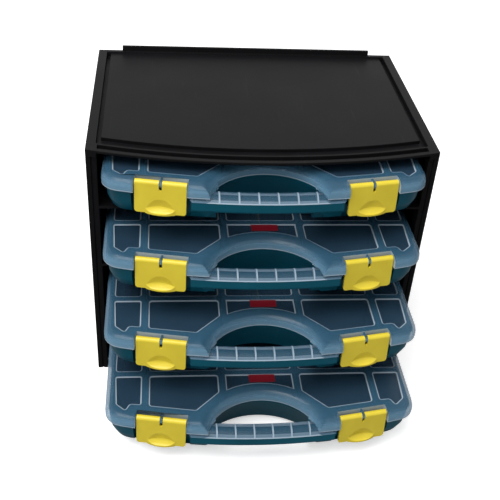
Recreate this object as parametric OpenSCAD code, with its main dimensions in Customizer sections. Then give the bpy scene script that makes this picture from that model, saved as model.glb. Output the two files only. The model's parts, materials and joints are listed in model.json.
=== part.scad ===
// Black plastic rack that holds four slide-out organiser cases.
// Origin: centre of the rack's underside. Cases slide out towards -Y. Case 1 is the top one.

/* [Cases] */
// Width of a case across its lid
case_w = 312; // [296:1:330]
// Depth of a case, from the front of the handle to the back of the hinge
case_d = 238; // [232:1:250]
// Height of a closed case
case_h = 51; // [47:1:58]
// Radius of the bowed front edge of a case
bow_r = 585; // [500:5:800]
// Wall thickness of the lid
lid_wall = 2; // [1.5:0.1:2.5]
// Height of the lid's side skirt
lid_skirt = 12.5; // [11:0.5:15]
// Radius of the rolled upper edge of the lid
lid_roll = 8; // [6:0.5:10]
// Radius of the front corners of the lid
lid_corner = 20; // [17:1:26]
// Depth of the recessed panels in the lid
panel_dip = 0.9; // [0.5:0.1:1.2]
// Wall thickness of the base and of its fixed walls
base_wall = 2; // [1.5:0.1:2.5]
// How far the base's sides lean in towards its floor
base_lean = 9; // [6:0.5:12]
// How far the base's front leans in down to its lower edge
front_lean = 6; // [4:0.5:9]
// Height of the lower edge of the base's front
knee_z = 12.5; // [8:0.5:16]
// How far the base's front slopes in below its lower edge
under_in = 19; // [14:1:24]
// Thickness of a removable divider
divider_t = 1.6; // [1.2:0.1:2]

/* [Compartments] */
// Middle of the fixed wall between the centre column and the wide columns
wall_in = 38.5; // [36:0.5:44]
// Middle of the fixed wall between the wide columns and the side columns
wall_out = 116.5; // [112:0.5:120]
// Depth at which the front row ends
row_front = 76.5; // [74:0.5:82]
// Depth at which the middle row ends
row_mid = 154; // [145:1:165]
// Width of the flat channel between two lid panels
channel_w = 7; // [5:0.5:9]

/* [Handle] */
// Radius of the arched back edge of the hand hole
hole_r = 58; // [54:0.5:60]
// Distance from the front of the case back to the top of the hand hole's arch
hole_back = 47.5; // [45:0.5:49]
// How far the wall behind the hand hole leans back towards the floor
hole_lean = 16; // [10:0.5:18]
// Half depth of the handle bar
bar_t = 10; // [9:0.5:10.5]
// Height of the handle bar's rounded top
bar_rise = 5.5; // [4.5:0.5:7]
// Half length of the handle bar's lower edge
bar_half = 72; // [70:0.5:73]
// Height of the lid's half of the handle bar, below the lid's top
bar_drop = 17; // [15:0.5:19]
// Height of the base's half of the handle bar
bar_base = 11; // [8:0.5:13]

/* [Latches] */
// Width of a latch
latch_w = 49; // [44:0.5:52]
// Height of a latch
latch_h = 33; // [30:0.5:36]
// Thickness of a latch plate
latch_t = 2.2; // [1.8:0.1:2.6]
// Distance of a latch's middle from the middle of the case
latch_x = 101.5; // [100:0.5:104]
// Diameter of the latch pin moulded on the lid
latch_pin = 3.2; // [2.6:0.1:3.6]
// Diameter of the rolled top edge of a latch
latch_roll = 6.6; // [6:0.1:7.4]
// Half width of the finger scoop
scoop_r = 17; // [14:0.5:18]

/* [Hinge] */
// Diameter of the lid hinge pins
hinge_pin = 4; // [3:0.1:4.4]
// Outer diameter of a hinge knuckle
hinge_knuckle = 8; // [7.4:0.1:8.4]
// Length of a hinge knuckle
knuckle_l = 36; // [24:1:44]
// Distance of a hinge from the middle of the case
hinge_x = 95; // [80:1:110]

/* [Rack] */
// Depth of the rack's side panels
rack_d = 233; // [226:1:240]
// Thickness of the rack's panels
panel_t = 3; // [2:0.1:4]
// Width of the side panels' front posts
post_w = 10.5; // [8:0.5:14]
// Depth of the side panels' front posts
post_d = 12; // [8:0.5:20]
// Space between a case and the front posts, each side
case_gap = 4.5; // [2:0.5:8]
// Height of the bottom panel
floor_h = 5; // [4:0.5:8]
// Free height above each case
shelf_gap = 19.5; // [17:0.5:26]
// Height from the top case to the top of the rack
top_room = 12.5; // [12:0.5:20]
// Width of the runner ledges
ledge_w = 34; // [30:1:44]
// Thickness of the runner ledges
ledge_t = 2.5; // [2:0.1:3.5]
// How far the top's front edge bows out
top_bow = 23; // [14:1:26]
// Depth of the top's recess
top_dip = 2; // [1:0.5:3]
// Width of the top's side strips
strip_w = 11; // [9:0.5:16]
// Height of the ridge along the back of the top
ridge_h = 6; // [3:0.5:10]
// Half length of the ridge along the back of the top
ridge_half = 144; // [120:1:150]

/* [Pull-out] */
// How far the top case is drawn out
pull_1 = 24.5; // [0:0.5:120]
// How far the second case is drawn out
pull_2 = 50; // [0:0.5:120]
// How far the third case is drawn out
pull_3 = 84; // [0:0.5:120]
// How far the bottom case is drawn out
pull_4 = 120; // [0:0.5:120]

/* [Hidden] */
$fn = 64;

// Clearances
slide_clear = 0.3;
seat_clear = 0.3;
skirt_clear = 1;
pin_clear = 0.08;
swing_clear = 0.8;
slab = 0.01;
over = 1;

// Colours
black_plastic = [0.11, 0.11, 0.12];
teal_plastic = [0.06, 0.3, 0.36];
lid_plastic = [0.42, 0.55, 0.63];
yellow_plastic = [0.86, 0.78, 0.2];

// Rack, from the sizes above
case_count = 4;
pulls = [pull_1, pull_2, pull_3, pull_4];
pitch = case_h + shelf_gap;
rack_w = case_w + 2 * (case_gap + post_w);
rack_front = -rack_d / 2;
rack_back = rack_d / 2;
inner_x = rack_w / 2 - panel_t;
rack_h = floor_h + slide_clear + (case_count - 1) * pitch + case_h + top_room;
top_bottom = 5.8;
top_skin = 1.7;
top_low = rack_h - top_bottom - top_skin;
top_bow_r = (pow(rack_w / 2, 2) + top_bow * top_bow) / (2 * top_bow);
closed_front = rack_front - top_bow - 2;

// Place of each case: the front of its handle, and its underside
function case_y(n) = closed_front - pulls[n - 1];
function case_z(n) = floor_h + slide_clear + (case_count - n) * pitch;

// Heights within a case
skirt_z = case_h - lid_skirt;
bar_z = case_h - bar_drop;
lid_t = lid_wall + panel_dip;
rim_z = case_h - lid_t - seat_clear;
rim_in = lid_t + skirt_clear;
lid_rear = case_d - hinge_knuckle / 2 - 2;
rear_corner = 12;
bar_low = bar_z - bar_base;
upper_lean = 1;
knee_lean = upper_lean + (base_lean - upper_lean) * (1 - knee_z / bar_low);
floor_front = front_lean + under_in;

// Upstand that stops a case which is pushed right in
stop_h = 10;
stop_inset = rim_in + base_lean - (base_lean - upper_lean) * stop_h / bar_low;
stop_y = closed_front + lid_rear - stop_inset + seat_clear;

// Hand hole
hole_v = hole_back - hole_r;
hole_half = 47.5;
hole_flat = 32;
hole_front = 2 * bar_t - 0.5;
hole_tip_v = hole_front + 2.5;
bar_swell = 1;
bar_r = (bar_t * bar_t + bar_rise * bar_rise) / (2 * bar_rise);
bar_axis = bar_z + bar_rise - bar_r;
arch_w = 11.5;
arch_roll = 13;
bar_flare = 4;

// Latch, in the frame of its place on the bowed front
latch_turn = asin(latch_x / bow_r);
latch_v = bow_r - sqrt(bow_r * bow_r - latch_x * latch_x);
latch_y = 7.5;
latch_z = case_h - 1 - latch_roll / 2;
latch_side = 0.8;
notch_y = 13.6;
notch_half = latch_w / 2 + latch_side;
latch_low = case_h - 1 - latch_h;
latch_lean = 1.6;
latch_face = latch_y - latch_roll / 2;
rib_t = 2;
rib_gap = 0.5;
catch_z = latch_low + 8;
catch_h = 3;

// Lid hinge
hinge_v = case_d - hinge_knuckle / 2;
hinge_z = case_h - 7;
ear_t = 3;
ear_d = hinge_knuckle - 1;

// Plan of a case, set in by i, with its front and rear corner radii; front sets the bow further in
function arc(c, r, a0, a1, steps) =
    [for (k = [0 : steps]) c + r * [cos(a0 + (a1 - a0) * k / steps), sin(a0 + (a1 - a0) * k / steps)]];
function half_plan(half, bow, rear, rf, rr) =
    let (turn = asin((half - rf) / (bow - rf)))
    let (corner_v = bow_r - (bow - rf) * cos(turn))
    concat(
        arc([0, bow_r], bow, -90, turn - 90, 10),
        arc([half - rf, corner_v], rf, turn - 75, 0, 5),
        arc([half - rr, rear - rr], rr, 0, 90, 5));
module plan(i, rf, rr, front = 0) {
    right = half_plan(case_w / 2 - i, bow_r - i - front, lid_rear - i, rf, rr);
    left = [for (k = [len(right) - 1 : -1 : 1]) [-right[k][0], right[k][1]]];
    polygon(concat(right, left));
}

// Thin slice of a plan at a height, for the lofted forms
module slice(z, i, rf, rr, front = 0) {
    translate([0, 0, z])
        linear_extrude(slab)
            plan(i, rf, rr, front);
}

// Corner of an outline rounded by an arc
function unit(a) = a / norm(a);
function rounded_corner(a, b, c, r, steps) =
    let (u = unit(a - b), w = unit(c - b), half = acos(u * w) / 2)
    let (m = b + unit(u + w) * r / sin(half), p = b + u * r / tan(half) - m)
    let (turn = (u[0] * w[1] - u[1] * w[0] > 0 ? -1 : 1) * (180 - 2 * half))
    [for (k = [0 : steps])
        let (t = turn * k / steps)
        m + [p[0] * cos(t) - p[1] * sin(t), p[0] * sin(t) + p[1] * cos(t)]];
function rounded(pts, r, steps = 3) =
    [for (k = [0 : len(pts) - 1])
        each rounded_corner(
            pts[(k + len(pts) - 1) % len(pts)], pts[k], pts[(k + 1) % len(pts)], r, steps)];

// Space between the handle bar and the arch behind it, grown by i, without the arch itself
module hole_field(i) {
    tip = hole_half + i;
    back = hole_back + hole_lean + arch_w;
    translate([0, 0, -over])
        linear_extrude(case_h + 2 * over)
            polygon([
                [-tip, hole_tip_v - i / 2], [-hole_flat, hole_front - i],
                [0, hole_front + bar_swell - i], [hole_flat, hole_front - i],
                [tip, hole_tip_v - i / 2], [tip, back], [-tip, back]]);
}

// Hand hole through the lid and the base, grown by i
module hand_hole(i) {
    intersection() {
        translate([0, hole_v, -over])
            cylinder(r = hole_r + i, h = case_h + 2 * over, $fn = 128);
        hole_field(i);
    }
}

// Hand hole in the base, wider towards the floor; its wall is low out at the floor, high out above
module base_hole(low, high) {
    flare = (low - high) / skirt_z;
    intersection() {
        translate([0, hole_v, -over])
            cylinder(
                r1 = hole_r + low + flare * over, r2 = hole_r + high, h = skirt_z + over, $fn = 128);
        hole_field(min(low, high));
    }
}

// What is cut off above the rolled arch behind the hand hole
module arch_cut(i) {
    arch_r = hole_r + arch_w;
    axis_z = case_h - arch_roll;
    low = min(axis_z, skirt_z) - 2 * over;
    translate([0, hole_v, 0])
        intersection() {
            rotate_extrude($fn = 128)
                difference() {
                    translate([0, low])
                        square([arch_r, case_h + over - low]);
                    translate([arch_r, axis_z])
                        circle(arch_roll - i, $fn = 64);
                    translate([arch_r - arch_roll + i, low - over])
                        square([arch_roll - i, axis_z - low + over]);
                }
            translate([-arch_r, -hole_v - over, 0])
                cube([2 * arch_r, 2 * arch_r, case_h + 2 * over]);
        }
}

// Front view of the handle bar down to low, with flared ends; grown by i, and deep from the front
module bar_field(i, low, deep) {
    half = bar_half + i;
    wide = half + bar_flare;
    translate([0, deep, 0])
        rotate([90, 0, 0])
            linear_extrude(deep + over)
                polygon([
                    [-half, low], [half, low], [wide, skirt_z], [wide, case_h + over],
                    [-wide, case_h + over], [-wide, skirt_z]]);
}

// Handle bar of the lid: a rounded bar along the bowed front, set in by i
module bar(i, low) {
    intersection() {
        translate([0, bow_r, 0])
            rotate_extrude($fn = 180)
                translate([bow_r - bar_t, bar_axis])
                    circle(bar_r - i, $fn = 64);
        bar_field(-i, low, 3 * bar_t);
    }
}

// Solid form of the lid, set in by i, down to the height low and under the handle to bar_open
module lid_form(i, low, bar_open) {
    difference() {
        union() {
            difference() {
                hull() {
                    slice(low, i, lid_corner - i, rear_corner - i);
                    for (a = [0 : 30 : 90])
                        slice(
                            case_h - lid_roll + (lid_roll - i) * sin(a) - slab,
                            lid_roll - (lid_roll - i) * cos(a),
                            lid_corner - lid_roll + (lid_roll - i) * cos(a),
                            rear_corner - lid_roll + (lid_roll - i) * cos(a));
                }
                arch_cut(i);
            }
            bar(i, bar_open);
        }
        hand_hole(i);
    }
}

// Moves a shape to a latch's place on the bowed front: +X along the latch, +Y into the case
module at_latch(side) {
    translate([side * latch_x, latch_v, 0])
        rotate([0, 0, side * latch_turn])
            children();
}

// Outlines of the lid panels on the right of the middle
edge = channel_w / 2;
panel_side = case_w / 2 - lid_roll - 0.5;
panel_rear = lid_rear - lid_roll - 0.5;
bow_v = function (x, i) bow_r - sqrt(pow(bow_r - i, 2) - x * x);
panel_front = 20;
function bay(x0, x1, v0, v1) = [[x0, v0], [x1, v0], [x1, v1], [x0, v1]];
wide_0 = wall_in + edge;
wide_1 = wall_out - edge;
side_0 = wall_out + edge;
corner_bulge = [panel_side - 12, bow_v(panel_side - 12, 9)];
wide_panel = [
    [wide_0, row_front - edge], [wide_0, hole_back + 1],
    [wide_0 + 24, bow_v(wide_0 + 24, panel_front)], [wide_1, bow_v(wide_1, panel_front)],
    [wide_1, row_front - edge]];
side_panel_outline = [
    [side_0, row_front - edge], [side_0, bow_v(side_0, panel_front)],
    [side_0 + 11, bow_v(side_0 + 11, panel_front - 1)], corner_bulge,
    [panel_side - 2, corner_bulge[1] + 10], [panel_side, row_front - edge]];
arch_edge = hole_r + arch_w + 1;
centre_half = wall_in - edge;
centre_panel = concat(
    [for (k = [-4 : 4])
        let (x = centre_half * k / 4)
        [x, hole_v + sqrt(arch_edge * arch_edge - x * x)]],
    [[centre_half, row_front - edge], [-centre_half, row_front - edge]]);
rear_rows = [[row_front + edge, row_mid - edge], [row_mid + edge, panel_rear]];
panel_r = 3.5;

module lid_panels() {
    translate([0, 0, case_h - panel_dip])
        linear_extrude(over + panel_dip) {
            polygon(centre_panel);
            for (s = [0, 1])
                mirror([s, 0]) {
                    polygon(rounded(wide_panel, panel_r));
                    polygon(rounded(side_panel_outline, 2.5));
                }
            for (row = rear_rows) {
                polygon(rounded(bay(-centre_half, centre_half, row[0], row[1]), panel_r));
                for (s = [0, 1])
                    mirror([s, 0]) {
                        polygon(rounded(bay(wide_0, wide_1, row[0], row[1]), panel_r));
                        polygon(rounded(bay(side_0, panel_side, row[0], row[1]), panel_r));
                    }
            }
        }
}

// Opening in the lid's front edge for one latch
module latch_notch() {
    translate([-notch_half, -bar_t, bar_z - over])
        cube([2 * notch_half, bar_t + notch_y, case_h]);
}

// Wall round a latch's opening, the pin and the rib that carries its middle
module latch_seat() {
    wall_h = case_h - lid_wall - skirt_z;
    for (s = [-1, 1])
        translate([s * (notch_half + lid_wall / 2) - lid_wall / 2, latch_y - lid_roll / 2, skirt_z])
            cube([lid_wall, notch_y - latch_y + lid_roll / 2 + lid_wall, wall_h]);
    translate([-notch_half - lid_wall, notch_y, skirt_z])
        cube([2 * (notch_half + lid_wall), lid_wall, wall_h]);
    translate([-notch_half - lid_wall / 2, latch_y, latch_z])
        rotate([0, 90, 0])
            cylinder(d = latch_pin, h = 2 * notch_half + lid_wall);
    translate([-rib_t / 2, latch_y, latch_z - latch_roll / 2])
        cube([rib_t, notch_y - latch_y + lid_wall / 2, latch_roll]);
    translate([-rib_t / 2, latch_y, latch_z])
        rotate([0, 90, 0])
            cylinder(d = latch_roll, h = rib_t);
}

// Knuckle of one lid hinge, with its snap slot
module lid_knuckle() {
    difference() {
        union() {
            translate([-knuckle_l / 2, hinge_v, hinge_z])
                rotate([0, 90, 0])
                    cylinder(d = hinge_knuckle, h = knuckle_l);
            translate([-knuckle_l / 2, lid_rear - lid_wall, hinge_z])
                cube([knuckle_l, hinge_v - lid_rear + lid_wall, hinge_knuckle / 2]);
        }
        translate([-knuckle_l / 2 - over, hinge_v, hinge_z])
            rotate([0, 90, 0])
                cylinder(d = hinge_pin + 2 * pin_clear, h = knuckle_l + 2 * over);
        translate([-knuckle_l / 2 - over, hinge_v - hinge_pin * 0.35, hinge_z - hinge_knuckle])
            cube([knuckle_l + 2 * over, hinge_pin * 0.7, hinge_knuckle]);
    }
}

// Room in the lid's rear skirt for the base's two hinge ears
module hinge_gap() {
    gap_w = ear_t + 2 * swing_clear;
    top = hinge_z + ear_d / 2 + swing_clear;
    for (x = [-knuckle_l / 2 - gap_w, knuckle_l / 2])
        translate([x, lid_rear - rear_corner / 2, skirt_z - over])
            cube([gap_w, rear_corner, top - skirt_z + over]);
}

module case_lid(n) {
    color(lid_plastic)
        translate([0, case_y(n), case_z(n)])
            difference() {
                union() {
                    difference() {
                        lid_form(0, skirt_z, bar_z);
                        lid_form(lid_t, skirt_z - over, bar_z - over);
                        for (s = [-1, 1]) {
                            at_latch(s)
                                latch_notch();
                            translate([s * hinge_x, 0, 0])
                                hinge_gap();
                        }
                    }
                    for (s = [-1, 1]) {
                        at_latch(s)
                            latch_seat();
                        translate([s * hinge_x, 0, 0])
                            lid_knuckle();
                    }
                    bar_ribs();
                }
                lid_panels();
            }
}

// Thin upright ribs inside the lid's half of the handle bar
bar_rib_count = 6;
bar_rib_step = 18.5;
bar_rib_t = 1.2;

module bar_ribs() {
    for (k = [0 : bar_rib_count - 1]) {
        x = (k - (bar_rib_count - 1) / 2) * bar_rib_step;
        translate([x - bar_rib_t / 2, bow_v(x, 0) + bar_t, 0])
            intersection() {
                translate([0, 0, bar_axis])
                    rotate([0, 90, 0])
                        cylinder(r = bar_r - lid_wall * 0.75, h = bar_rib_t);
                translate([-over, -bar_t, bar_z + seat_clear])
                    cube([bar_rib_t + 2 * over, 2 * bar_t, 2 * bar_t]);
            }
    }
}

// Finger scoop: a round hollow in the latch's face that runs out onto a lip below it
scoop_deep = 2.8;
scoop_skin = 1.6;
scoop_y = latch_face - latch_lean;
scoop_z = latch_low + 1;
scoop_ball = (scoop_r * scoop_r + scoop_deep * scoop_deep) / (2 * scoop_deep);
scoop_round = 8;
bowl_half = scoop_r + 4;
bowl_r = (bowl_half * bowl_half + scoop_deep * scoop_deep) / (2 * scoop_deep);
lip_out = 4.2;
lip_r = (scoop_r * scoop_r + lip_out * lip_out) / (2 * lip_out);
lip_drop = 0.6;
lip_h = 6;

module scoop_sphere(grow) {
    translate([0, scoop_y + scoop_deep - scoop_ball, scoop_z])
        sphere(scoop_ball + grow, $fn = 96);
}

module scoop_dish() {
    intersection() {
        scoop_sphere(0);
        translate([0, scoop_y + scoop_deep - bowl_r, scoop_z])
            rotate_extrude($fn = 128) {
                square([bowl_r - scoop_round, latch_h]);
                translate([0, scoop_round])
                    square([bowl_r, latch_h]);
                translate([bowl_r - scoop_round, scoop_round])
                    circle(scoop_round, $fn = 48);
            }
    }
}

module scoop_shell() {
    intersection() {
        scoop_sphere(scoop_skin);
        translate([-scoop_r, scoop_y + latch_t / 2, latch_low])
            cube([2 * scoop_r, scoop_r, scoop_r]);
    }
}

module scoop_lip() {
    intersection() {
        translate([0, scoop_y + lip_r - lip_out, latch_low - lip_drop])
            cylinder(r = lip_r, h = lip_h, $fn = 128);
        translate([-scoop_r, scoop_y - lip_out - over, latch_low - lip_drop])
            cube([2 * scoop_r, lip_out + over + latch_t, lip_h]);
    }
}

// Leaning plate of a latch, with rounded lower corners
module latch_plate() {
    corner = 3;
    intersection() {
        translate([-latch_w / 2, 0, 0])
            rotate([90, 0, 90])
                linear_extrude(latch_w)
                    polygon([
                        [latch_face, latch_z], [scoop_y, latch_low],
                        [scoop_y + latch_t, latch_low], [latch_face + latch_t, latch_z]]);
        translate([0, 2 * bar_t, 0])
            rotate([90, 0, 0])
                linear_extrude(3 * bar_t) {
                    translate([-latch_w / 2, latch_low + corner])
                        square([latch_w, latch_h]);
                    translate([corner - latch_w / 2, latch_low])
                        square([latch_w - 2 * corner, latch_h]);
                    for (s = [-1, 1])
                        translate([s * (latch_w / 2 - corner), latch_low + corner])
                            circle(corner, $fn = 32);
                }
    }
}

module case_latch(n, side) {
    slot_z = latch_z - latch_roll / 2 - 2 * rib_gap;
    slot_half = rib_t / 2 + rib_gap;
    color(yellow_plastic)
        translate([0, case_y(n), case_z(n)])
            at_latch(side)
                difference() {
                    union() {
                        latch_plate();
                        translate([-latch_w / 2, latch_y, latch_z])
                            rotate([0, 90, 0])
                                cylinder(d = latch_roll, h = latch_w);
                        scoop_lip();
                        scoop_shell();
                    }
                    translate([-latch_w / 2 - over, latch_y, latch_z])
                        rotate([0, 90, 0])
                            cylinder(d = latch_pin + 2 * pin_clear, h = latch_w + 2 * over);
                    translate([-slot_half, -over, slot_z])
                        cube([2 * slot_half, 2 * bar_t, latch_h]);
                    translate([0, -over, slot_z])
                        rotate([-90, 0, 0])
                            cylinder(r = slot_half, h = 2 * bar_t);
                    scoop_dish();
                }
}

// Lower slices of the base's tub, set in further by i; the floor is at height low
module base_slices(i, low) {
    c = lid_corner - i;
    inset = rim_in + i;
    slice(bar_low, inset + upper_lean, c, rear_corner - i, upper_lean);
    slice(knee_z + low / 2, inset + knee_lean, c, rear_corner - i, front_lean - knee_lean);
    slice(low, inset + base_lean, c, rear_corner - i, floor_front - base_lean);
}

// Outer form of the base's tub: its rim follows the inside of the lid's rolled edge
module base_form() {
    roll = lid_roll - lid_t - seat_clear;
    hull() {
        for (a = [30 : 30 : 90]) {
            i = max(rim_in, lid_roll - roll * cos(a));
            slice(case_h - lid_roll + roll * sin(a) - slab, i, lid_corner - i, rear_corner - i);
        }
        base_slices(0, 0);
    }
}

// Hollow of the base's tub, before its fixed walls
module base_hollow() {
    i = rim_in + base_wall;
    hull() {
        slice(case_h, lid_roll, lid_corner - lid_roll, rear_corner - lid_roll);
        slice(case_h - lid_roll, i, lid_corner - i, rear_corner - i);
        base_slices(base_wall, base_wall);
    }
}

// Compartments: the spaces between the fixed walls
module compartments() {
    w = base_wall / 2;
    xs = [-case_w / 2, -wall_out, -wall_in, wall_in, wall_out, case_w / 2];
    vs = [0, row_front, row_mid, case_d];
    for (c = [0 : len(xs) - 2], r = [0 : len(vs) - 2])
        translate([xs[c] + w, vs[r] + w, base_wall])
            cube([xs[c + 1] - xs[c] - 2 * w, vs[r + 1] - vs[r] - 2 * w, case_h]);
}

// Pocket in the base's front behind one latch, grown by i
module latch_pocket(i) {
    half = notch_half + lid_wall + swing_clear + i;
    translate([-half, -2 * bar_t, latch_low - 6 - i])
        cube([2 * half, 2 * bar_t + notch_y + lid_wall + swing_clear + i, case_h]);
}

// Two edges that a latch snaps over, either side of its scoop
module latch_catch() {
    catch_y = latch_face + latch_t + seat_clear;
    catch_in = scoop_r + seat_clear;
    for (s = [0, 1])
        mirror([s, 0, 0])
            translate([catch_in, catch_y, catch_z])
                cube([latch_w / 2 - catch_in - over,
                      notch_y + lid_wall + swing_clear - catch_y + base_wall, catch_h]);
}

// Ears and pin of one lid hinge
module hinge_ears() {
    half = knuckle_l / 2 + swing_clear;
    root_v = lid_rear - rim_in - base_wall / 2;
    for (x = [-half - ear_t, half]) {
        translate([x, hinge_v, hinge_z])
            rotate([0, 90, 0])
                cylinder(d = ear_d, h = ear_t);
        translate([x, root_v, hinge_z - ear_d / 2])
            cube([ear_t, hinge_v - root_v, ear_d]);
    }
    translate([-half - ear_t / 2, hinge_v, hinge_z])
        rotate([0, 90, 0])
            cylinder(d = hinge_pin, h = 2 * half + ear_t);
}

// Base's half of the handle bar, with a rounded lower front edge
module base_bar() {
    round_r = 3;
    deep = 2 * bar_t - seat_clear;
    intersection() {
        translate([0, bow_r, 0])
            rotate_extrude($fn = 180) {
                translate([bow_r - deep, bar_low + round_r])
                    square([deep - seat_clear, bar_base - round_r - seat_clear]);
                translate([bow_r - deep, bar_low])
                    square([deep - round_r - seat_clear, bar_base - seat_clear]);
                translate([bow_r - round_r - seat_clear, bar_low + round_r])
                    circle(round_r, $fn = 32);
            }
        translate([-bar_half, -over, bar_low])
            cube([2 * bar_half, 3 * bar_t, bar_base]);
    }
}

// Pairs of small ribs that hold a removable divider upright
slot_rib = 1.4;
module divider_slots() {
    h = rim_z - 8;
    for (v = [row_front + base_wall / 2, row_mid - base_wall / 2 - slot_rib,
              row_mid + base_wall / 2])
        for (s = [-1, 1])
            translate([s * (divider_t / 2 + seat_clear + slot_rib / 2) - slot_rib / 2, v, base_wall])
                cube([slot_rib, slot_rib, h]);
}

// Space under the lid's half of the handle, which the base's tub leaves free, grown by i
module handle_room(i) {
    bar_field(skirt_clear + i, bar_z - seat_clear, 2.5 * bar_t + i);
}

// Room for the fingers under the base's half of the handle bar, grown by i
module finger_room(i) {
    wide = hole_half + 9 + i;
    translate([0, hole_tip_v + i, 0])
        rotate([90, 0, 0])
            linear_extrude(hole_tip_v + i + over)
                polygon([
                    [-wide, -over], [wide, -over], [wide, knee_z], [hole_half + i, bar_low + i],
                    [-hole_half - i, bar_low + i], [-wide, knee_z]]);
}

// Wall that the lid has round the hand hole, with clearance
module hole_room() {
    intersection() {
        hand_hole(rim_in);
        translate([-case_w / 2, 0, skirt_z - seat_clear])
            cube([case_w, case_d, case_h]);
    }
}

// Inside of the tub: the compartments, clear of the handle and the latches
module base_inside() {
    difference() {
        intersection() {
            base_hollow();
            compartments();
        }
        hand_hole(rim_in + base_wall);
        base_hole(hole_lean + base_wall, rim_in + base_wall);
        handle_room(base_wall);
        finger_room(base_wall);
        for (s = [-1, 1])
            at_latch(s)
                latch_pocket(base_wall);
    }
}

module case_base(n) {
    color(teal_plastic)
        translate([0, case_y(n), case_z(n)])
            difference() {
                union() {
                    difference() {
                        base_form();
                        base_inside();
                        arch_cut(lid_t + seat_clear);
                        hole_room();
                        handle_room(0);
                        for (s = [-1, 1])
                            at_latch(s)
                                latch_pocket(0);
                    }
                    for (s = [-1, 1]) {
                        at_latch(s)
                            latch_catch();
                        translate([s * hinge_x, 0, 0])
                            hinge_ears();
                    }
                    base_bar();
                    divider_slots();
                }
                hand_hole(0);
                base_hole(hole_lean, 0);
                finger_room(0);
            }
}

// Removable dividers along the middle of the centre column
module case_dividers(n) {
    w = base_wall / 2 + seat_clear;
    rear_end = lid_rear - rim_in - base_lean - base_wall;
    rows = [[row_front, row_mid], [row_mid, rear_end]];
    color(yellow_plastic)
        translate([0, case_y(n), case_z(n)])
            for (row = rows)
                translate([-divider_t / 2, row[0] + w, base_wall + seat_clear])
                    cube([divider_t, row[1] - row[0] - 2 * w, rim_z - base_wall - 3]);
}

// One side panel, drawn for the right-hand side
module side_panel() {
    wall_h = top_low;
    difference() {
        union() {
            translate([inner_x, rack_front, 0])
                cube([panel_t, rack_d, wall_h]);
            translate([rack_w / 2 - post_w, rack_front, 0])
                cube([post_w, post_d, wall_h]);
            for (n = [1 : case_count - 1])
                translate([0, 0, case_z(n) - slide_clear])
                    runner_ledge();
        }
        translate([rack_w / 2 - post_w * 0.6, rack_front - over, -over])
            cube([1.5, over + 1.2, wall_h + 2 * over]);
    }
}

// Ledge that one side of a case runs on, with its turned-down edge and rear stop
module runner_ledge() {
    ledge_in = inner_x - ledge_w;
    depth = rack_d - panel_t - seat_clear;
    lip_h = 6;
    translate([ledge_in, rack_front, -ledge_t])
        cube([ledge_w, depth, ledge_t]);
    translate([ledge_in, rack_front, -lip_h])
        cube([ledge_t, depth, lip_h]);
    translate([ledge_in, stop_y, -ledge_t])
        cube([ledge_w, ledge_t, ledge_t + stop_h]);
}

module left_side_panel() {
    color(black_plastic)
        mirror([1, 0, 0])
            side_panel();
}

module right_side_panel() {
    color(black_plastic)
        side_panel();
}

// Plan of the top behind its bowed front line, set back by i, out to half each side
module top_plan(i, half, back) {
    intersection() {
        translate([0, rack_front - top_bow + top_bow_r])
            circle(top_bow_r - i, $fn = 360);
        translate([-half, rack_front - top_bow])
            square([2 * half, back - rack_front + top_bow]);
    }
}

// Opening of the top's tray behind the front rib, its long sides slightly curved
module tray_opening(front) {
    bulge_r = 2600;
    bulge = 1.5;
    back_t = 6;
    half = rack_w / 2 - strip_w + bulge;
    intersection() {
        top_plan(front, half, rack_back - back_t);
        for (s = [0, 1])
            mirror([s, 0])
                translate([half - bulge_r, rack_front / 2])
                    circle(bulge_r, $fn = 720);
    }
}

// Underside of the top's front lip, which slopes down towards the back between the posts
module lip_underside() {
    lip_edge = 2.6;
    slope = 9;
    half = rack_w / 2 - post_w;
    intersection() {
        translate([0, rack_front - top_bow + top_bow_r, 0])
            rotate_extrude($fn = 360)
                polygon([
                    [top_bow_r - slope, top_low - over], [top_bow_r - slope, top_low],
                    [top_bow_r, rack_h - lip_edge], [top_bow_r + over, rack_h - lip_edge],
                    [top_bow_r + over, top_low - over]]);
        translate([-half, rack_front - top_bow - over, top_low - over])
            cube([2 * half, top_bow + over + post_d, rack_h - top_low]);
    }
}

// Top panel: raised tray in a moat, side strips, a grooved bowed front and a back ridge
module top_panel() {
    lip_t = 5;
    groove_dip = 4;
    rib_front = 12;
    rib_back = 14.5;
    tray_front = 30;
    moat_w = 2.5;
    ridge_t = 3.5;
    strip_in = rack_w / 2 - strip_w;
    color(black_plastic)
        difference() {
            union() {
                translate([0, 0, top_low])
                    linear_extrude(rack_h - top_low)
                        top_plan(0, rack_w / 2, rack_back);
                translate([-ridge_half, rack_back - ridge_t, rack_h - over])
                    cube([2 * ridge_half, ridge_t, ridge_h + over]);
            }
            translate([0, 0, rack_h - groove_dip])
                linear_extrude(groove_dip + over)
                    difference() {
                        top_plan(lip_t, strip_in, 0);
                        top_plan(rib_front, rack_w, rack_d);
                    }
            translate([0, 0, rack_h - top_bottom])
                linear_extrude(top_bottom + over)
                    difference() {
                        tray_opening(rib_back);
                        top_plan(tray_front, strip_in - moat_w, rack_d);
                    }
            translate([0, 0, rack_h - top_dip])
                linear_extrude(top_dip + over)
                    tray_opening(rib_back);
            lip_underside();
        }
}

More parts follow.
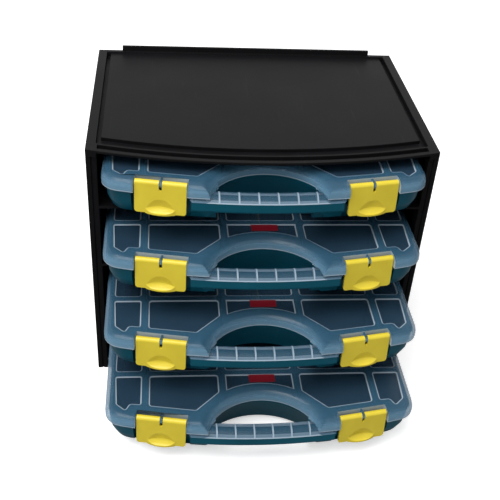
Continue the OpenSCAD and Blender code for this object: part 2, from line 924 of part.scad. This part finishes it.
// Bottom panel: tray on ribs, between the side panels and their posts, with its own stop
module bottom_panel() {
    rib_n = 4;
    color(black_plastic)
        difference() {
            union() {
                translate([-inner_x, rack_front, 0])
                    cube([2 * inner_x, rack_d - panel_t, floor_h]);
                translate([-inner_x, stop_y, 0])
                    cube([2 * inner_x, ledge_t, floor_h + stop_h]);
            }
            for (s = [0, 1])
                mirror([s, 0, 0])
                    translate([rack_w / 2 - post_w - seat_clear, rack_front - over, -over])
                        cube([post_w, post_d + seat_clear + over, floor_h + 2 * over]);
            for (k = [0 : rib_n - 1])
                translate([-inner_x + panel_t + k * (2 * inner_x - panel_t) / rib_n,
                           rack_front + panel_t, -over])
                    cube([(2 * inner_x - panel_t) / rib_n - panel_t, rack_d - 3 * panel_t,
                          floor_h - 2 + over]);
        }
}

// Back panel, with two recessed fields
module back_panel() {
    margin = 24;
    field_dip = panel_t / 3;
    color(black_plastic)
        difference() {
            translate([-inner_x, rack_back - panel_t, 0])
                cube([2 * inner_x, panel_t, top_low]);
            for (s = [0, 1])
                mirror([s, 0, 0])
                    translate([margin / 2, rack_back - field_dip, margin])
                        cube([inner_x - 1.5 * margin, field_dip + over, top_low - 2 * margin]);
        }
}

left_side_panel();
right_side_panel();
top_panel();
bottom_panel();
back_panel();
for (n = [1 : case_count]) {
    case_base(n);
    case_lid(n);
    case_latch(n, -1);
    case_latch(n, 1);
    case_dividers(n);
}
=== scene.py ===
import json
import math

import bpy
from mathutils import Matrix, Vector

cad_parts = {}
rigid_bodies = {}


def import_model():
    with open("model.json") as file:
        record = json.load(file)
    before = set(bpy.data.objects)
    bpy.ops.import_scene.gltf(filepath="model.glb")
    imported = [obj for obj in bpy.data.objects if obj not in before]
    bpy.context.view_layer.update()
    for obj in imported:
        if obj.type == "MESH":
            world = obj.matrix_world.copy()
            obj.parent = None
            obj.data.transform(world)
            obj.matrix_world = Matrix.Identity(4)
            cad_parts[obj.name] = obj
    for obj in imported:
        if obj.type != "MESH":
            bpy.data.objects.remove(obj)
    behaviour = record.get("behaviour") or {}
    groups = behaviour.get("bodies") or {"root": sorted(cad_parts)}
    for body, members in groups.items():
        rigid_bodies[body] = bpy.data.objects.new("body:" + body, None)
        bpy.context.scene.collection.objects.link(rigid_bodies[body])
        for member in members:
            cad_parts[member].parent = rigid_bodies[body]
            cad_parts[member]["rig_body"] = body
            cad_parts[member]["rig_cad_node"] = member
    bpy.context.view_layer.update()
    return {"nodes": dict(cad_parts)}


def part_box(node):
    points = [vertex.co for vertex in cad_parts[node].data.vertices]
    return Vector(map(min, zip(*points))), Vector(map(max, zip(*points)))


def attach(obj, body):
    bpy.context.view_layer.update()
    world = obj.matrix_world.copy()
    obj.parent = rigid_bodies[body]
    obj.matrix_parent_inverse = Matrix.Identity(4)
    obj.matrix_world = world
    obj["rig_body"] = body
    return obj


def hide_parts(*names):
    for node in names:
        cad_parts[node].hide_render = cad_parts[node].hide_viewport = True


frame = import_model()
mm = 0.001
caseNumbers = (1, 2, 3, 4)  # 1 is the top case
print("frame loaded:", len(frame["nodes"]), "nodes")


# Small helpers for working as by hand
def deselect():
    bpy.ops.object.select_all(action="DESELECT")


def pick(piece):
    deselect()
    piece.select_set(True)
    bpy.context.view_layer.objects.active = piece


def enterEdit():
    bpy.ops.object.mode_set(mode="EDIT")


def leaveEdit():
    bpy.ops.object.mode_set(mode="OBJECT")


# Leaves nothing of the piece selected, ready for a choice of faces or edges
def clearChoice(piece, kind="FACE"):
    pick(piece)
    enterEdit()
    bpy.ops.mesh.select_mode(type=kind)
    bpy.ops.mesh.select_all(action="DESELECT")
    leaveEdit()


def applyModifiers(piece):
    pick(piece)
    for modifier in list(piece.modifiers):
        bpy.ops.object.modifier_apply(modifier=modifier.name)


# A merged copy of a CAD node, ready to be finished
copying = {"merge": 0.03 * mm, "flat": 0.6}


def copyOf(nodeName, pieceName):
    pick(frame["nodes"][nodeName])
    bpy.ops.object.duplicate()
    piece = bpy.context.active_object
    bpy.ops.object.parent_clear(type="CLEAR")
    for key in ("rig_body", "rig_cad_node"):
        del piece[key]
    piece.name = pieceName
    piece.data.name = pieceName
    piece.data.materials.clear()
    bpy.ops.mesh.customdata_custom_splitnormals_clear()
    enterEdit()
    bpy.ops.mesh.select_all(action="SELECT")
    bpy.ops.mesh.remove_doubles(threshold=copying["merge"])
    bpy.ops.mesh.dissolve_limited(angle_limit=math.radians(copying["flat"]))
    bpy.ops.mesh.dissolve_degenerate(threshold=copying["merge"])
    bpy.ops.mesh.select_all(action="SELECT")
    bpy.ops.mesh.delete_loose()
    leaveEdit()
    return piece


# Breaks the sharp edges of a copy, as a mould does; the new faces can take a finish of their own
softening = {"segments": 2, "sharpAngle": 36, "smoothAngle": 40, "sameFinish": -1}


def softenEdges(piece, width, edgeSlot=softening["sameFinish"]):
    bevel = piece.modifiers.new("softEdge", "BEVEL")
    bevel.width = width
    bevel.segments = softening["segments"]
    bevel.limit_method = "ANGLE"
    bevel.angle_limit = math.radians(softening["sharpAngle"])
    bevel.material = edgeSlot
    bevel.miter_outer = "MITER_ARC"
    applyModifiers(piece)


def smooth(piece):
    pick(piece)
    bpy.ops.object.shade_smooth_by_angle(angle=math.radians(softening["smoothAngle"]))
    weighted = piece.modifiers.new("evenNormals", "WEIGHTED_NORMAL")
    weighted.keep_sharp = True
    applyModifiers(piece)


def place(piece, body, slot, *nodes):
    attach(piece, body)
    if nodes:
        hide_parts(*nodes)


# A socket takes a link from a Flow, or else a plain value
def feed(tree, socket, value):
    if isinstance(value, Flow):
        tree.links.new(value.socket, socket)
    else:
        socket.default_value = value


# Shader maths: a Flow is a value on its way through the nodes
class Flow:
    def __init__(self, tree, socket):
        self.tree = tree
        self.socket = socket

    def join(self, operation, first, second):
        maths = self.tree.nodes.new("ShaderNodeMath")
        maths.operation = operation
        feed(self.tree, maths.inputs[0], first)
        feed(self.tree, maths.inputs[1], second)
        return Flow(self.tree, maths.outputs[0])

    def __add__(self, other):
        return self.join("ADD", self, other)

    def __radd__(self, other):
        return self.join("ADD", other, self)

    def __sub__(self, other):
        return self.join("SUBTRACT", self, other)

    def __rsub__(self, other):
        return self.join("SUBTRACT", other, self)

    def __mul__(self, other):
        return self.join("MULTIPLY", self, other)

    def __rmul__(self, other):
        return self.join("MULTIPLY", other, self)

    def __mod__(self, other):
        return self.join("FLOORED_MODULO", self, other)

    def __lt__(self, other):
        return self.join("LESS_THAN", self, other)


# The Mix node has sockets of one name for several kinds of data, so its colours go by number
mixSockets = {"mask": 0, "first": 6, "second": 7, "result": 2}
socketNames = {
    "color": "Base Color", "roughness": "Roughness", "alpha": "Alpha", "normal": "Normal",
    "specular": "Specular IOR Level", "emission": "Emission Color",
    "emissionStrength": "Emission Strength",
}


class Finish:
    def __init__(self, name):
        self.material = bpy.data.materials.new(name)
        self.material.use_nodes = True
        self.tree = self.material.node_tree
        self.shader = self.tree.nodes["Principled BSDF"]
        self.coords = self.node("ShaderNodeTexCoord", {}, {}, "Object")

    # Any node: its type, its settings, the values or links of its sockets, and the output wanted
    def node(self, kind, settings, sockets, output=0):
        made = self.tree.nodes.new(kind)
        for name, value in settings.items():
            if name == "stops":
                for element, (spot, level) in zip(made.color_ramp.elements, value):
                    element.position = spot
                    element.color = (level, level, level, 1)
            else:
                setattr(made, name, value)
        for name, value in sockets.items():
            feed(self.tree, made.inputs[name], value)
        return Flow(self.tree, made.outputs[output])

    def axis(self, letter, vector=None):
        return self.node("ShaderNodeSeparateXYZ", {}, {"Vector": vector or self.coords}, letter)

    # 1 in bands of a given width that repeat along an axis, 0 between them
    def bands(self, letter, start, width, step):
        return (self.axis(letter) - start) % step < width

    def noise(self, size, detail, coords=None):
        sockets = {"Vector": coords or self.coords, "Scale": 1 / size, "Detail": detail}
        return self.node("ShaderNodeTexNoise", {}, sockets)

    def ramp(self, value, low, high):
        return self.node("ShaderNodeValToRGB", {"stops": ((low, 0), (high, 1))}, {"Fac": value})

    def blend(self, mask, first, second):
        values = {"mask": mask, "first": first, "second": second}
        sockets = {mixSockets[name]: value for name, value in values.items()}
        return self.node("ShaderNodeMix", {"data_type": "RGBA"}, sockets, mixSockets["result"])

    def stretched(self, scale, turn):
        sockets = {"Vector": self.coords, "Scale": scale, "Rotation": (0, 0, math.radians(turn))}
        return self.node("ShaderNodeMapping", {}, sockets)

    def bump(self, height, depth):
        sockets = {"Height": height, "Distance": depth, "Strength": 1}
        return self.node("ShaderNodeBump", {}, sockets)

    def set(self, **sockets):
        for name, value in sockets.items():
            feed(self.tree, self.shader.inputs[socketNames[name]], value)
        return self.material


# Noise runs from 0 to 1; this makes it swing about 0
def swing(noise, amount):
    return (noise - 0.5) * amount


# A colour given as it looks on a screen, 0 to 255, turned into light by the sRGB curve
def shade(red, green, blue):
    linear = []
    for level in (red, green, blue):
        level = level / 255
        linear.append(level / 12.92 if level <= 0.04045 else ((level + 0.055) / 1.055) ** 2.4)
    return (*linear, 1)


# Black rack plastic: fine moulded grain, faint flow marks and scuffs
rackBlack = {
    "dark": shade(14, 14, 15), "light": shade(20, 20, 22), "dust": shade(60, 60, 64),
    "grain": 0.7 * mm, "grainDepth": 0.03 * mm, "flow": 60 * mm,
    "scuff": 4 * mm, "scuffStretch": (1, 0.06, 1), "scuffTurn": 24, "scuffLimits": (0.66, 0.8),
    "scuffDust": 0.12, "scuffShine": 0.05, "roughness": 0.46, "flowRoughness": 0.18,
    "specular": 0.06,
}


def makeRackBlack(look):
    finish = Finish("rackBlack")
    grain = finish.noise(look["grain"], detail=2)
    flow = finish.noise(look["flow"], detail=4)
    streaks = finish.stretched(look["scuffStretch"], look["scuffTurn"])
    scuff = finish.noise(look["scuff"], detail=2, coords=streaks)
    scuff = finish.ramp(scuff, *look["scuffLimits"])
    color = finish.blend(flow, look["dark"], look["light"])
    color = finish.blend(scuff * look["scuffDust"], color, look["dust"])
    rough = look["roughness"] + swing(flow, look["flowRoughness"]) - scuff * look["scuffShine"]
    return finish.set(
        color=color, roughness=rough, specular=look["specular"],
        normal=finish.bump(grain, look["grainDepth"]))


# Coloured plastics: two close tones in slow flow marks, and a fine grain
baseTeal = {
    "deep": shade(0, 66, 82), "bright": shade(4, 86, 106), "flow": 45 * mm, "flowDetail": 4,
    "grain": 1.6 * mm, "grainDepth": 0.02 * mm, "roughness": 0.34, "flowRoughness": 0.16,
    "grainRoughness": 0.08, "specular": 0.16,
}
latchYellow = {
    "deep": shade(210, 188, 46), "bright": shade(228, 208, 60), "flow": 18 * mm, "flowDetail": 3,
    "grain": 0.9 * mm, "grainDepth": 0.012 * mm, "roughness": 0.36, "flowRoughness": 0.14,
    "grainRoughness": 0, "specular": 0.4,
}
dividerYellow = {
    "deep": shade(196, 176, 60), "bright": shade(214, 198, 92), "flow": 24 * mm, "flowDetail": 3,
    "grain": 1.2 * mm, "grainDepth": 0.01 * mm, "roughness": 0.4, "flowRoughness": 0.14,
    "grainRoughness": 0, "specular": 0.4,
}


def makePlastic(name, look):
    finish = Finish(name)
    flow = finish.noise(look["flow"], look["flowDetail"])
    grain = finish.noise(look["grain"], detail=2)
    color = finish.blend(flow, look["deep"], look["bright"])
    rough = look["roughness"] + swing(flow, look["flowRoughness"])
    rough = rough + swing(grain, look["grainRoughness"])
    return finish.set(
        color=color, roughness=rough, specular=look["specular"],
        normal=finish.bump(grain, look["grainDepth"]))


# Hazy clear lid plastic: cloudy at the rolled border, with a painted highlight where it turns from
# level; dark and clear in the panels, the dark being painted shade of the case's inside; bright
# along its edges, a painted highlight; the bar shows its upright ribs as bright lines, which are
# painted highlights
lidHaze = {
    "border": {"color": shade(74, 118, 146), "deep": shade(54, 94, 120), "alpha": 0.46,
               "roughness": 0.25, "specular": 0.4},
    # Panels: their dark colour is painted shade, standing in for the dark inside of the case seen
    # through them
    "panel": {"color": shade(48, 67, 87), "deep": shade(36, 53, 70), "alpha": 0.48,
              "roughness": 0.18, "specular": 0.25},
    # Edges: their pale colour is a painted highlight, the light caught along the plastic's edges
    "edge": {"color": shade(192, 204, 214), "deep": shade(162, 178, 192), "alpha": 0.78,
             "roughness": 0.35, "specular": 0.4},
    "bar": {"color": shade(76, 112, 136), "deep": shade(56, 90, 114), "alpha": 0.32,
            "roughness": 0.3, "specular": 0.25},
    # Lines and rolls: painted highlights, lighter bands on the border and the bar
    "line": {"color": shade(160, 180, 196), "alpha": 0.72, "limits": (0.2, 0.8)},
    "roll": {"color": shade(132, 178, 206), "alpha": 0.16, "limits": (0.15, 0.75), "show": 0.6},
    "cloud": 35 * mm, "cloudAlpha": 0.12, "cloudRoughness": 0.15,
    "scratch": 3 * mm, "scratchStretch": (0.05, 1, 1), "scratchTurn": 35,
    "scratchLimits": (0.62, 0.78), "scratchAlpha": 0.05, "scratchRoughness": 0.1,
    "ripple": 30 * mm, "rippleDepth": 0.05 * mm,
    "skirt": 12.5 * mm, "skirtLine": 1 * mm, "ribStep": 18.5 * mm, "ribLine": 1.5 * mm,
}
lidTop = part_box("case_4_lid")[1].z
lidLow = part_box("case_4_lid")[0].z
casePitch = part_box("case_3_lid")[1].z - lidTop


# Painted highlights as bright lines: the lower edge of the border's skirt, or the ribs and the
# lower edge of the bar
def paintedHighlightLines(finish, zone):
    if zone == "border":
        return finish.bands("Z", lidTop - lidHaze["skirt"], lidHaze["skirtLine"], casePitch)
    start = (lidHaze["ribStep"] - lidHaze["ribLine"]) / 2
    ribs = finish.bands("X", start, lidHaze["ribLine"], lidHaze["ribStep"])
    return finish.bands("Z", lidLow, lidHaze["skirtLine"], casePitch) + ribs


def makeLidHaze(zone):
    finish = Finish("lid" + zone.capitalize())
    look = lidHaze[zone]
    bright = lidHaze["line"]
    rolled = lidHaze["roll"]
    cloud = finish.noise(lidHaze["cloud"], detail=4)
    streaks = finish.stretched(lidHaze["scratchStretch"], lidHaze["scratchTurn"])
    scratch = finish.noise(lidHaze["scratch"], detail=2, coords=streaks)
    scratch = finish.ramp(scratch, *lidHaze["scratchLimits"])
    ripple = finish.noise(lidHaze["ripple"], detail=1)
    color = finish.blend(cloud, look["color"], look["deep"])
    alpha = look["alpha"] + swing(cloud, lidHaze["cloudAlpha"]) + scratch * lidHaze["scratchAlpha"]
    rough = look["roughness"] + swing(cloud, lidHaze["cloudRoughness"])
    rough = rough + scratch * lidHaze["scratchRoughness"]
    if zone in ("border", "bar"):
        # Painted highlight: the rolled parts get lighter and denser the more they turn from level
        normals = finish.node("ShaderNodeTexCoord", {}, {}, "Normal")
        roll = finish.ramp(1 - finish.axis("Z", normals), *rolled["limits"])
        color = finish.blend(roll * rolled["show"], color, rolled["color"])
        alpha = alpha + roll * rolled["alpha"]
        # Painted highlight: bright lines along the skirt's lower edge and the bar's ribs
        line = finish.ramp(paintedHighlightLines(finish, zone), *bright["limits"])
        color = finish.blend(line, color, bright["color"])
        alpha = alpha + line * (bright["alpha"] - look["alpha"])
    return finish.set(
        color=color, alpha=alpha, roughness=rough, specular=look["specular"],
        normal=finish.bump(ripple, lidHaze["rippleDepth"]))


# Blank red label
labelRed = {
    "deep": shade(114, 12, 26), "bright": shade(138, 20, 36), "fibre": 1.1 * mm,
    "fibreDepth": 0.01 * mm, "roughness": 0.4, "fibreRoughness": 0.2,
}


def makeLabelRed(look):
    finish = Finish("labelRed")
    fibre = finish.noise(look["fibre"], detail=4)
    return finish.set(
        color=finish.blend(fibre, look["deep"], look["bright"]),
        roughness=look["roughness"] + swing(fibre, look["fibreRoughness"]),
        normal=finish.bump(fibre, look["fibreDepth"]))


finishes = {
    "rack": makeRackBlack(rackBlack), "base": makePlastic("baseTeal", baseTeal),
    "lidBorder": makeLidHaze("border"), "lidPanel": makeLidHaze("panel"),
    "lidEdge": makeLidHaze("edge"), "lidBar": makeLidHaze("bar"),
    "latch": makePlastic("latchYellow", latchYellow),
    "divider": makePlastic("dividerYellow", dividerYellow), "label": makeLabelRed(labelRed),
}
print("finishes made:", len(finishes))


# A piece of one finish: softened edges, even shading and its place in the frame
def complete(piece, look, body, nodeName):
    piece.data.materials.append(finishes[look["finish"]])
    softenEdges(piece, look["edge"])
    smooth(piece)
    place(piece, body, look["slot"], nodeName)


# Rack: five mouldings
rack = {"finish": "rack", "edge": 0.6 * mm, "slot": "rack_black", "body": "rack"}
rackNodes = {
    "left_side_panel": "leftSide", "right_side_panel": "rightSide", "top_panel": "topTray",
    "bottom_panel": "bottomTray", "back_panel": "backSheet",
}
for nodeName, pieceName in rackNodes.items():
    panel = copyOf(nodeName, pieceName)
    complete(panel, rack, rack["body"], nodeName)
print("rack finished")

# Bases
base = {"finish": "base", "edge": 0.7 * mm, "slot": "base_teal"}
for number in caseNumbers:
    nodeName = f"case_{number}_base"
    tub = copyOf(nodeName, f"baseTub{number}")
    complete(tub, base, f"case_{number}", nodeName)
print("bases finished")

# Lids: the recessed panels are clearer, with painted shade; their outlines and the broken edges
# brighter, with a painted highlight
lid = {
    "edge": 0.45 * mm, "panelDip": 0.9 * mm, "tolerance": 0.1 * mm, "outline": 1.2 * mm,
    "levelNormal": 0.99, "wallNormal": 0.1, "rimNormal": 0.2,
    "rimRoom": 4 * mm, "crumb": 0.5 * mm * mm,
    "barHalf": 57 * mm, "barDeep": 21 * mm, "barDrop": 11 * mm, "slot": "lid_clear",
}
lidZones = {"lidBorder": 0, "lidEdge": 1, "lidPanel": 2, "lidBar": 3}


# Walls of the opening round a latch, which show a painted highlight as a bright rim
def isLatchRim(face, latchBox):
    away = face.center - (latchBox[0] + latchBox[1]) / 2
    reach = (latchBox[1] - latchBox[0]) / 2
    near = abs(away.x) < reach.x + lid["rimRoom"] and abs(away.y) < reach.y + lid["rimRoom"]
    return near and abs(face.normal.z) < lid["rimNormal"] and face.normal.dot(away) < 0


def zoneOf(face, low, high, latchBoxes):
    depth = high.z - face.center.z
    if face.normal.z > lid["levelNormal"] and abs(depth - lid["panelDip"]) < lid["tolerance"]:
        return "lidPanel"
    if abs(face.normal.z) < lid["wallNormal"] and 0 < depth < lid["panelDip"]:
        return "lidEdge"
    if any(isLatchRim(face, latchBox) for latchBox in latchBoxes):
        return "lidEdge"
    atBar = abs(face.center.x) < lid["barHalf"] and face.center.y < low.y + lid["barDeep"]
    if atBar and depth > lid["barDrop"]:
        return "lidBar"
    return "lidBorder"


for number in caseNumbers:
    nodeName = f"case_{number}_lid"
    low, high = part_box(nodeName)
    cover = copyOf(nodeName, f"lidCover{number}")
    for name in lidZones:
        cover.data.materials.append(finishes[name])
    latchBoxes = [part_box(f"case_{number}_{side}_latch") for side in ("left", "right")]
    clearChoice(cover)
    for polygon in cover.data.polygons:
        zone = zoneOf(polygon, low, high, latchBoxes)
        polygon.material_index = lidZones[zone]
        polygon.select = zone == "lidPanel"
    enterEdit()
    bpy.ops.mesh.inset(thickness=lid["outline"], depth=0)
    leaveEdit()
    # Only the inner faces are selected after the inset; those round them become the outline, with
    # the edge finish's painted highlight
    for polygon in cover.data.polygons:
        if polygon.material_index == lidZones["lidPanel"] and not polygon.select:
            polygon.material_index = lidZones["lidEdge"]
    # The broken edges take the edge finish and its painted highlight
    softenEdges(cover, lid["edge"], lidZones["lidEdge"])
    # Crumbs of the broken edges would glitter, so they go back to the border
    for polygon in cover.data.polygons:
        if polygon.material_index == lidZones["lidEdge"] and polygon.area < lid["crumb"]:
            polygon.material_index = lidZones["lidBorder"]
    smooth(cover)
    place(cover, f"case_{number}_cover", lid["slot"], nodeName)
print("lids finished")

# Latches: the scoop and its lip are drawn in a little
latch = {
    "finish": "latch", "edge": 0.6 * mm, "slot": "latch_yellow", "plate": 2.2 * mm,
    "scoopHalf": 18 * mm, "scoopHigh": 19 * mm, "scoopWidth": 0.84,
    "lipStart": 0.05 * mm, "lipDepth": 0.7,
}


def drawInScoop(clip, box):
    plate = max(clip.data.polygons, key=lambda polygon: polygon.area)
    front = plate.normal if plate.normal.y < 0 else -plate.normal
    along = Vector((-front.y, front.x, 0)).normalized()
    middle = (box[0] + box[1]) / 2
    turn = Matrix((along, along.cross(front), front)).transposed()
    face = plate.center if front == plate.normal else plate.center + front * latch["plate"]

    def inScoop(spot):
        sideways = abs((spot - middle).dot(along))
        return sideways < latch["scoopHalf"] and spot.z < box[0].z + latch["scoopHigh"]

    def onLip(spot):
        return inScoop(spot) and (spot - face).dot(front) > latch["lipStart"]

    narrower = (latch["scoopWidth"], 1, 1)
    shallower = (1, 1, latch["lipDepth"])
    for test, value in ((inScoop, narrower), (onLip, shallower)):
        clearChoice(clip)
        for vertex in clip.data.vertices:
            vertex.select = test(vertex.co)
        enterEdit()
        bpy.ops.mesh.select_mode(type="VERT")
        bpy.ops.transform.resize(
            value=value, center_override=(middle.x, face.y, face.z), orient_matrix=turn)
        leaveEdit()


for number in caseNumbers:
    for side in ("left", "right"):
        nodeName = f"case_{number}_{side}_latch"
        clip = copyOf(nodeName, f"{side}Clip{number}")
        drawInScoop(clip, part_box(nodeName))
        complete(clip, latch, f"case_{number}_{side}_snap", nodeName)
print("latches finished")

# Dividers
divider = {"finish": "divider", "edge": 0.3 * mm, "slot": "divider_yellow"}
for number in caseNumbers:
    nodeName = f"case_{number}_dividers"
    strips = copyOf(nodeName, f"dividerStrips{number}")
    complete(strips, divider, f"case_{number}", nodeName)
print("dividers finished")

# Blank labels, stuck in the middle panel of each lid
label = {
    "width": 27 * mm, "depth": 11.5 * mm, "height": 0.2 * mm, "across": 3 * mm, "back": 68 * mm,
    "corner": 1.2 * mm, "cornerSegments": 4,
}
for number in caseNumbers:
    low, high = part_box(f"case_{number}_lid")
    deselect()
    spot = (label["across"], low.y + label["back"], high.z - lid["panelDip"] + label["height"] / 2)
    bpy.ops.mesh.primitive_cube_add(size=1, location=spot)
    sticker = bpy.context.active_object
    sticker.name = f"label{number}"
    sticker.data.name = sticker.name
    sticker.scale = (label["width"], label["depth"], label["height"])
    bpy.ops.object.transform_apply(location=True, rotation=True, scale=True)
    clearChoice(sticker, "EDGE")
    for edge in sticker.data.edges:
        first, second = (sticker.data.vertices[end].co for end in edge.vertices)
        edge.select = abs(first.z - second.z) > label["height"] / 2
    enterEdit()
    bpy.ops.mesh.bevel(offset=label["corner"], segments=label["cornerSegments"], affect="EDGES")
    leaveEdit()
    sticker.data.materials.append(finishes["label"])
    smooth(sticker)
    place(sticker, f"case_{number}_cover", lid["slot"])
print("labels finished")

# Pale floor, running far enough back to fill the view; its glow is for the camera alone
floor = {
    "size": 14, "color": shade(252, 252, 252), "bounce": shade(145, 145, 145), "glow": 0.5,
    "roughness": 0.9, "specular": 0.1,
}
deselect()
bpy.ops.mesh.primitive_plane_add(size=floor["size"])
ground = bpy.context.active_object
ground.name = "paleFloor"


def makeFloor():
    finish = Finish("paleFloor")
    seen = finish.node("ShaderNodeLightPath", {}, {}, "Is Camera Ray")
    return finish.set(
        color=finish.blend(seen, floor["bounce"], floor["color"]), roughness=floor["roughness"],
        specular=floor["specular"], emission=seen * floor["glow"], emissionStrength=1)


ground.data.materials.append(makeFloor())

# World: white to the eye and to reflections, a plain level for the light
world = {"light": 0.5, "seen": 1.0}
sky = bpy.data.worlds.new("studio")
bpy.context.scene.world = sky
sky.use_nodes = True
tree = sky.node_tree
background = tree.nodes["Background"]
background.inputs["Color"].default_value = (1, 1, 1, 1)
rays = tree.nodes.new("ShaderNodeLightPath")
seen = Flow(tree, rays.outputs["Is Camera Ray"]) + Flow(tree, rays.outputs["Is Glossy Ray"])
seen = seen + Flow(tree, rays.outputs["Is Transmission Ray"])
strength = world["light"] + seen * (world["seen"] - world["light"])
feed(tree, background.inputs["Strength"], strength)

# Soft studio lamps: a broad one above the front, a fill from the left
lamps = {
    "overhead": {"at": (-0.6, -0.7, 2.0), "size": 1.5, "power": 42},
    "fill": {"at": (-1.3, -1.3, 1.0), "size": 1.2, "power": 4},
}
target = Vector((0, -0.1, 0.12))
for name, lamp in lamps.items():
    deselect()
    bpy.ops.object.light_add(type="AREA", location=lamp["at"])
    light = bpy.context.active_object
    light.name = name
    light.data.energy = lamp["power"]
    light.data.size = lamp["size"]
    light.rotation_euler = (target - Vector(lamp["at"])).to_track_quat("-Z", "Y").to_euler()
print("floor, world and lamps set")

# Camera at the photograph's viewing angle
view = {
    "at": (-0.0984, -0.8214, 0.6792), "yaw": 7.2276, "pitch": 35.9705, "roll": 4.0975,
    "focal": 849.93, "frame": 500, "sensor": 36,
}
yaw, pitch, roll = (math.radians(view[key]) for key in ("yaw", "pitch", "roll"))
level = math.cos(pitch)
forward = Vector((math.sin(yaw) * level, math.cos(yaw) * level, -math.sin(pitch)))
right = Vector((math.cos(yaw), -math.sin(yaw), 0))
up = right.cross(forward)
across = right * math.cos(roll) + up * math.sin(roll)
upright = up * math.cos(roll) - right * math.sin(roll)
deselect()
bpy.ops.object.camera_add(location=view["at"])
camera = bpy.context.active_object
turned = Matrix((across, upright, -forward)).transposed()
camera.rotation_euler = turned.to_euler()
camera.data.sensor_width = view["sensor"]
camera.data.lens = view["focal"] / view["frame"] * view["sensor"]
bpy.context.scene.camera = camera
bpy.context.scene.view_settings.view_transform = "Standard"
print("camera set")
